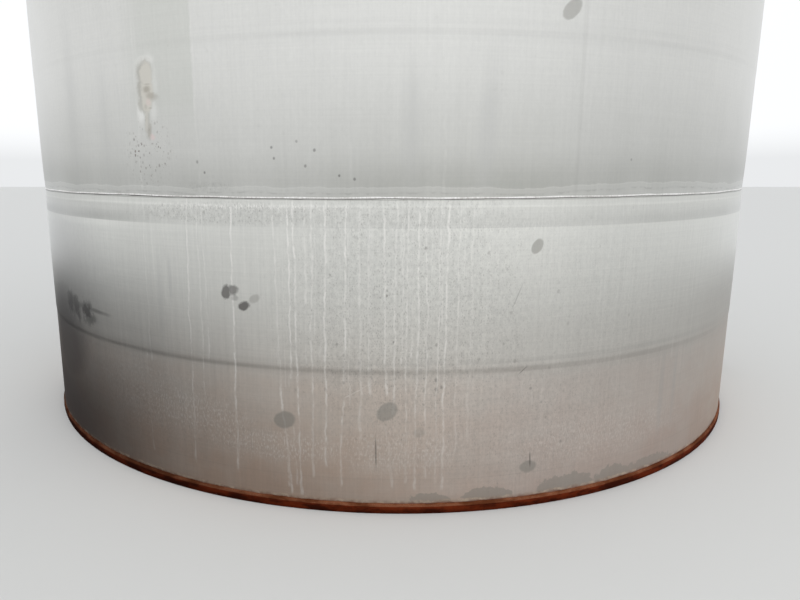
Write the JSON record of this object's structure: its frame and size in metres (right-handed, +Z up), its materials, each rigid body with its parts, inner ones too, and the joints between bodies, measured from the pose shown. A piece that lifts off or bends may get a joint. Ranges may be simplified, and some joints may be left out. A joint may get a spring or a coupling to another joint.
{
  "type": "vertical storage tank",
  "caption": "Upright cylindrical welded stainless steel storage tank on a rusted steel ring, with a flat floor, cone roof, bolted manway, blanked nozzles, vent and roof hatch.",
  "frame": {"origin": "middle of the underside of the floor plate, on the ground", "axes": "+Z up along the tank's axis; -Y out of the side that the picture shows; +Y out of the manway at the back; +X to the right of the front view"},
  "size_m": [4.5925, 4.5014, 6.7352],
  "materials": {
    "shell_stainless": "weathered mill-finish stainless plate, light grey, with pale water runs, dark spots and pitting",
    "roof_stainless": "weathered mill-finish stainless plate, dull grey with dust",
    "fitting_stainless": "machined and rolled stainless fittings, satin",
    "rusted_steel": "bare carbon steel flat bar, fully rusted, dark red-brown"
  },
  "bodies": {
    "root": {"floor_plate": "shell_stainless", "base_ring_back": "rusted_steel", "base_ring_front": "rusted_steel", "shell_course_1_right": "shell_stainless", "shell_course_1_back": "shell_stainless", "shell_course_1_left": "shell_stainless", "shell_course_1_front": "shell_stainless", "shell_course_2_left": "shell_stainless", "shell_course_2_right": "shell_stainless", "shell_course_3_back": "shell_stainless", "shell_course_3_front": "shell_stainless", "shell_course_4_left": "shell_stainless", "shell_course_4_right": "shell_stainless", "shell_course_5_back": "shell_stainless", "shell_course_5_front": "shell_stainless", "curb_angle_back": "fitting_stainless", "curb_angle_front": "fitting_stainless", "roof_plate_1": "roof_stainless", "roof_plate_2": "roof_stainless", "roof_plate_3": "roof_stainless", "roof_plate_4": "roof_stainless", "roof_plate_5": "roof_stainless", "roof_plate_6": "roof_stainless", "roof_crown_plate": "roof_stainless", "vent_neck": "fitting_stainless", "vent_hood": "fitting_stainless", "roof_hatch_neck": "fitting_stainless", "roof_hatch_flange": "fitting_stainless", "roof_hatch_cover": "fitting_stainless", "manway_pad": "fitting_stainless", "manway_neck": "fitting_stainless", "manway_flange": "fitting_stainless", "manway_cover": "fitting_stainless", "outlet_nozzle": "fitting_stainless", "outlet_blind_flange": "fitting_stainless", "fill_nozzle": "fitting_stainless", "fill_blind_flange": "fitting_stainless", "lifting_lug_right": "fitting_stainless", "lifting_lug_left": "fitting_stainless"}
  },
  "joints": []
}
